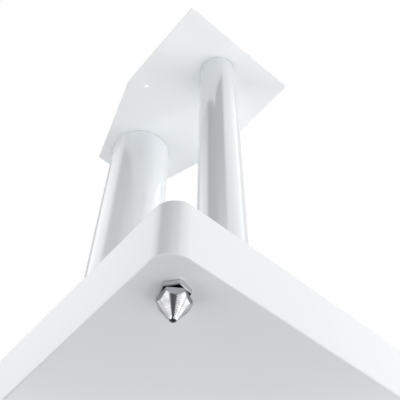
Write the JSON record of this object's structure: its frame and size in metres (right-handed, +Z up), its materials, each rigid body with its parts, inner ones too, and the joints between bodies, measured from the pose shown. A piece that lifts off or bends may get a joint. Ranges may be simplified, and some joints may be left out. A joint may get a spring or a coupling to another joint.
{
  "type": "speaker stand",
  "caption": "Floor stand with a slab base on adjustable spikes, a thick and a thin round column, and a thin tapered top plate for a small loudspeaker.",
  "frame": {"origin": "on the floor under the centre of the base plate", "axes": "+Z up, +Y to the rear (thin column's side), +X to the right as seen from the front"},
  "size_m": [0.304, 0.4, 0.6],
  "materials": {
    "base_lacquer": "satin white lacquer on fibreboard",
    "column_paint": "gloss white powder coat",
    "plate_paint": "satin white powder coat",
    "turned_steel": "bright turned steel with fine lathe rings",
    "nut_plating": "nickel-plated steel",
    "fastener_plating": "zinc-plated steel",
    "disc_steel": "bare machined steel",
    "insert_brass": "turned brass"
  },
  "bodies": {
    "stand": {"base_plate": "base_lacquer", "main_column": "column_paint", "rear_column": "column_paint", "top_plate": "plate_paint", "spike_insert_rear_right": "insert_brass", "spike_insert_rear_left": "insert_brass", "spike_insert_front_right": "insert_brass", "spike_insert_front_left": "insert_brass", "main_column_bottom_disc": "disc_steel", "main_column_top_disc": "disc_steel", "rear_column_bottom_disc": "disc_steel", "rear_column_top_disc": "disc_steel", "main_base_bolt_1": "fastener_plating", "main_base_bolt_2": "fastener_plating", "main_base_bolt_3": "fastener_plating", "main_base_washer_1": "fastener_plating", "main_base_washer_2": "fastener_plating", "main_base_washer_3": "fastener_plating", "main_top_screw_1": "fastener_plating", "main_top_screw_2": "fastener_plating", "main_top_screw_3": "fastener_plating", "rear_base_bolt": "fastener_plating", "rear_base_washer": "fastener_plating", "rear_top_screw": "fastener_plating"},
    "spike_rear_right": {"spike_rear_right": "turned_steel"},
    "lock_nut_rear_right": {"lock_nut_rear_right": "nut_plating"},
    "spike_rear_left": {"spike_rear_left": "turned_steel"},
    "lock_nut_rear_left": {"lock_nut_rear_left": "nut_plating"},
    "spike_front_right": {"spike_front_right": "turned_steel"},
    "lock_nut_front_right": {"lock_nut_front_right": "nut_plating"},
    "spike_front_left": {"spike_front_left": "turned_steel"},
    "lock_nut_front_left": {"lock_nut_front_left": "nut_plating"}
  },
  "joints": [
    {"name": "spike_rear_right_travel", "type": "slide", "parent": "stand", "child": "spike_rear_right", "axis": [0, 0, -1], "range_m": [0, 0.006]},
    {"name": "spike_rear_left_travel", "type": "slide", "parent": "stand", "child": "spike_rear_left", "axis": [0, 0, -1], "range_m": [0, 0.006]},
    {"name": "spike_front_right_travel", "type": "slide", "parent": "stand", "child": "spike_front_right", "axis": [0, 0, -1], "range_m": [0, 0.006]},
    {"name": "spike_front_left_travel", "type": "slide", "parent": "stand", "child": "spike_front_left", "axis": [0, 0, -1], "range_m": [0, 0.006]},
    {"name": "lock_nut_rear_right_travel", "type": "slide", "parent": "stand", "child": "lock_nut_rear_right", "axis": [0, 0, -1], "range_m": [0, 0.0013]},
    {"name": "lock_nut_rear_left_travel", "type": "slide", "parent": "stand", "child": "lock_nut_rear_left", "axis": [0, 0, -1], "range_m": [0, 0.0013]},
    {"name": "lock_nut_front_right_travel", "type": "slide", "parent": "stand", "child": "lock_nut_front_right", "axis": [0, 0, -1], "range_m": [0, 0.0013]},
    {"name": "lock_nut_front_left_travel", "type": "slide", "parent": "stand", "child": "lock_nut_front_left", "axis": [0, 0, -1], "range_m": [0, 0.0013]}
  ]
}
